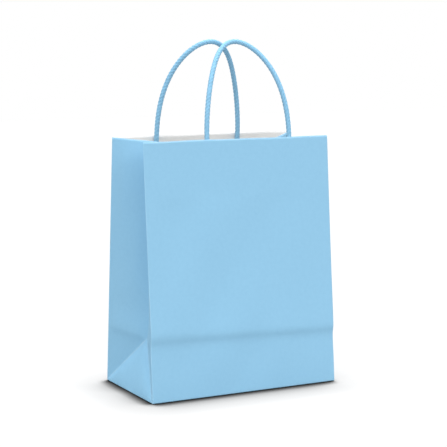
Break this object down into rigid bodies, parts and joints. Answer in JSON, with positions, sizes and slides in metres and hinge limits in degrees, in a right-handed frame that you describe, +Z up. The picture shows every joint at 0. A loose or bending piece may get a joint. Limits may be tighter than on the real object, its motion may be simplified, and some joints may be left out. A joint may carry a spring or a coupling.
{
  "type": "paper bag",
  "caption": "Open paper carrier bag with tucked side gussets, a folded block bottom and arched twisted paper handles, free standing.",
  "frame": {"origin": "on the surface that the bag stands on, under the middle of the base", "axes": "+Z up towards the mouth and handles, -Y out of the front wall, +X to the right as the front wall is seen"},
  "size_m": [0.203, 0.1102, 0.343],
  "materials": {
    "blue_paper": "matt light blue paper outside, plain white paper inside",
    "blue_cord": "matt light blue paper, twisted into a cord",
    "white_paper": "matt uncoated white paper"
  },
  "bodies": {
    "root": {"bag_body": "blue_paper", "front_handle_cord": "blue_cord", "back_handle_cord": "blue_cord", "front_strip_backing": "white_paper", "front_strip_cover": "white_paper", "back_strip_backing": "white_paper", "back_strip_cover": "white_paper"}
  },
  "joints": []
}
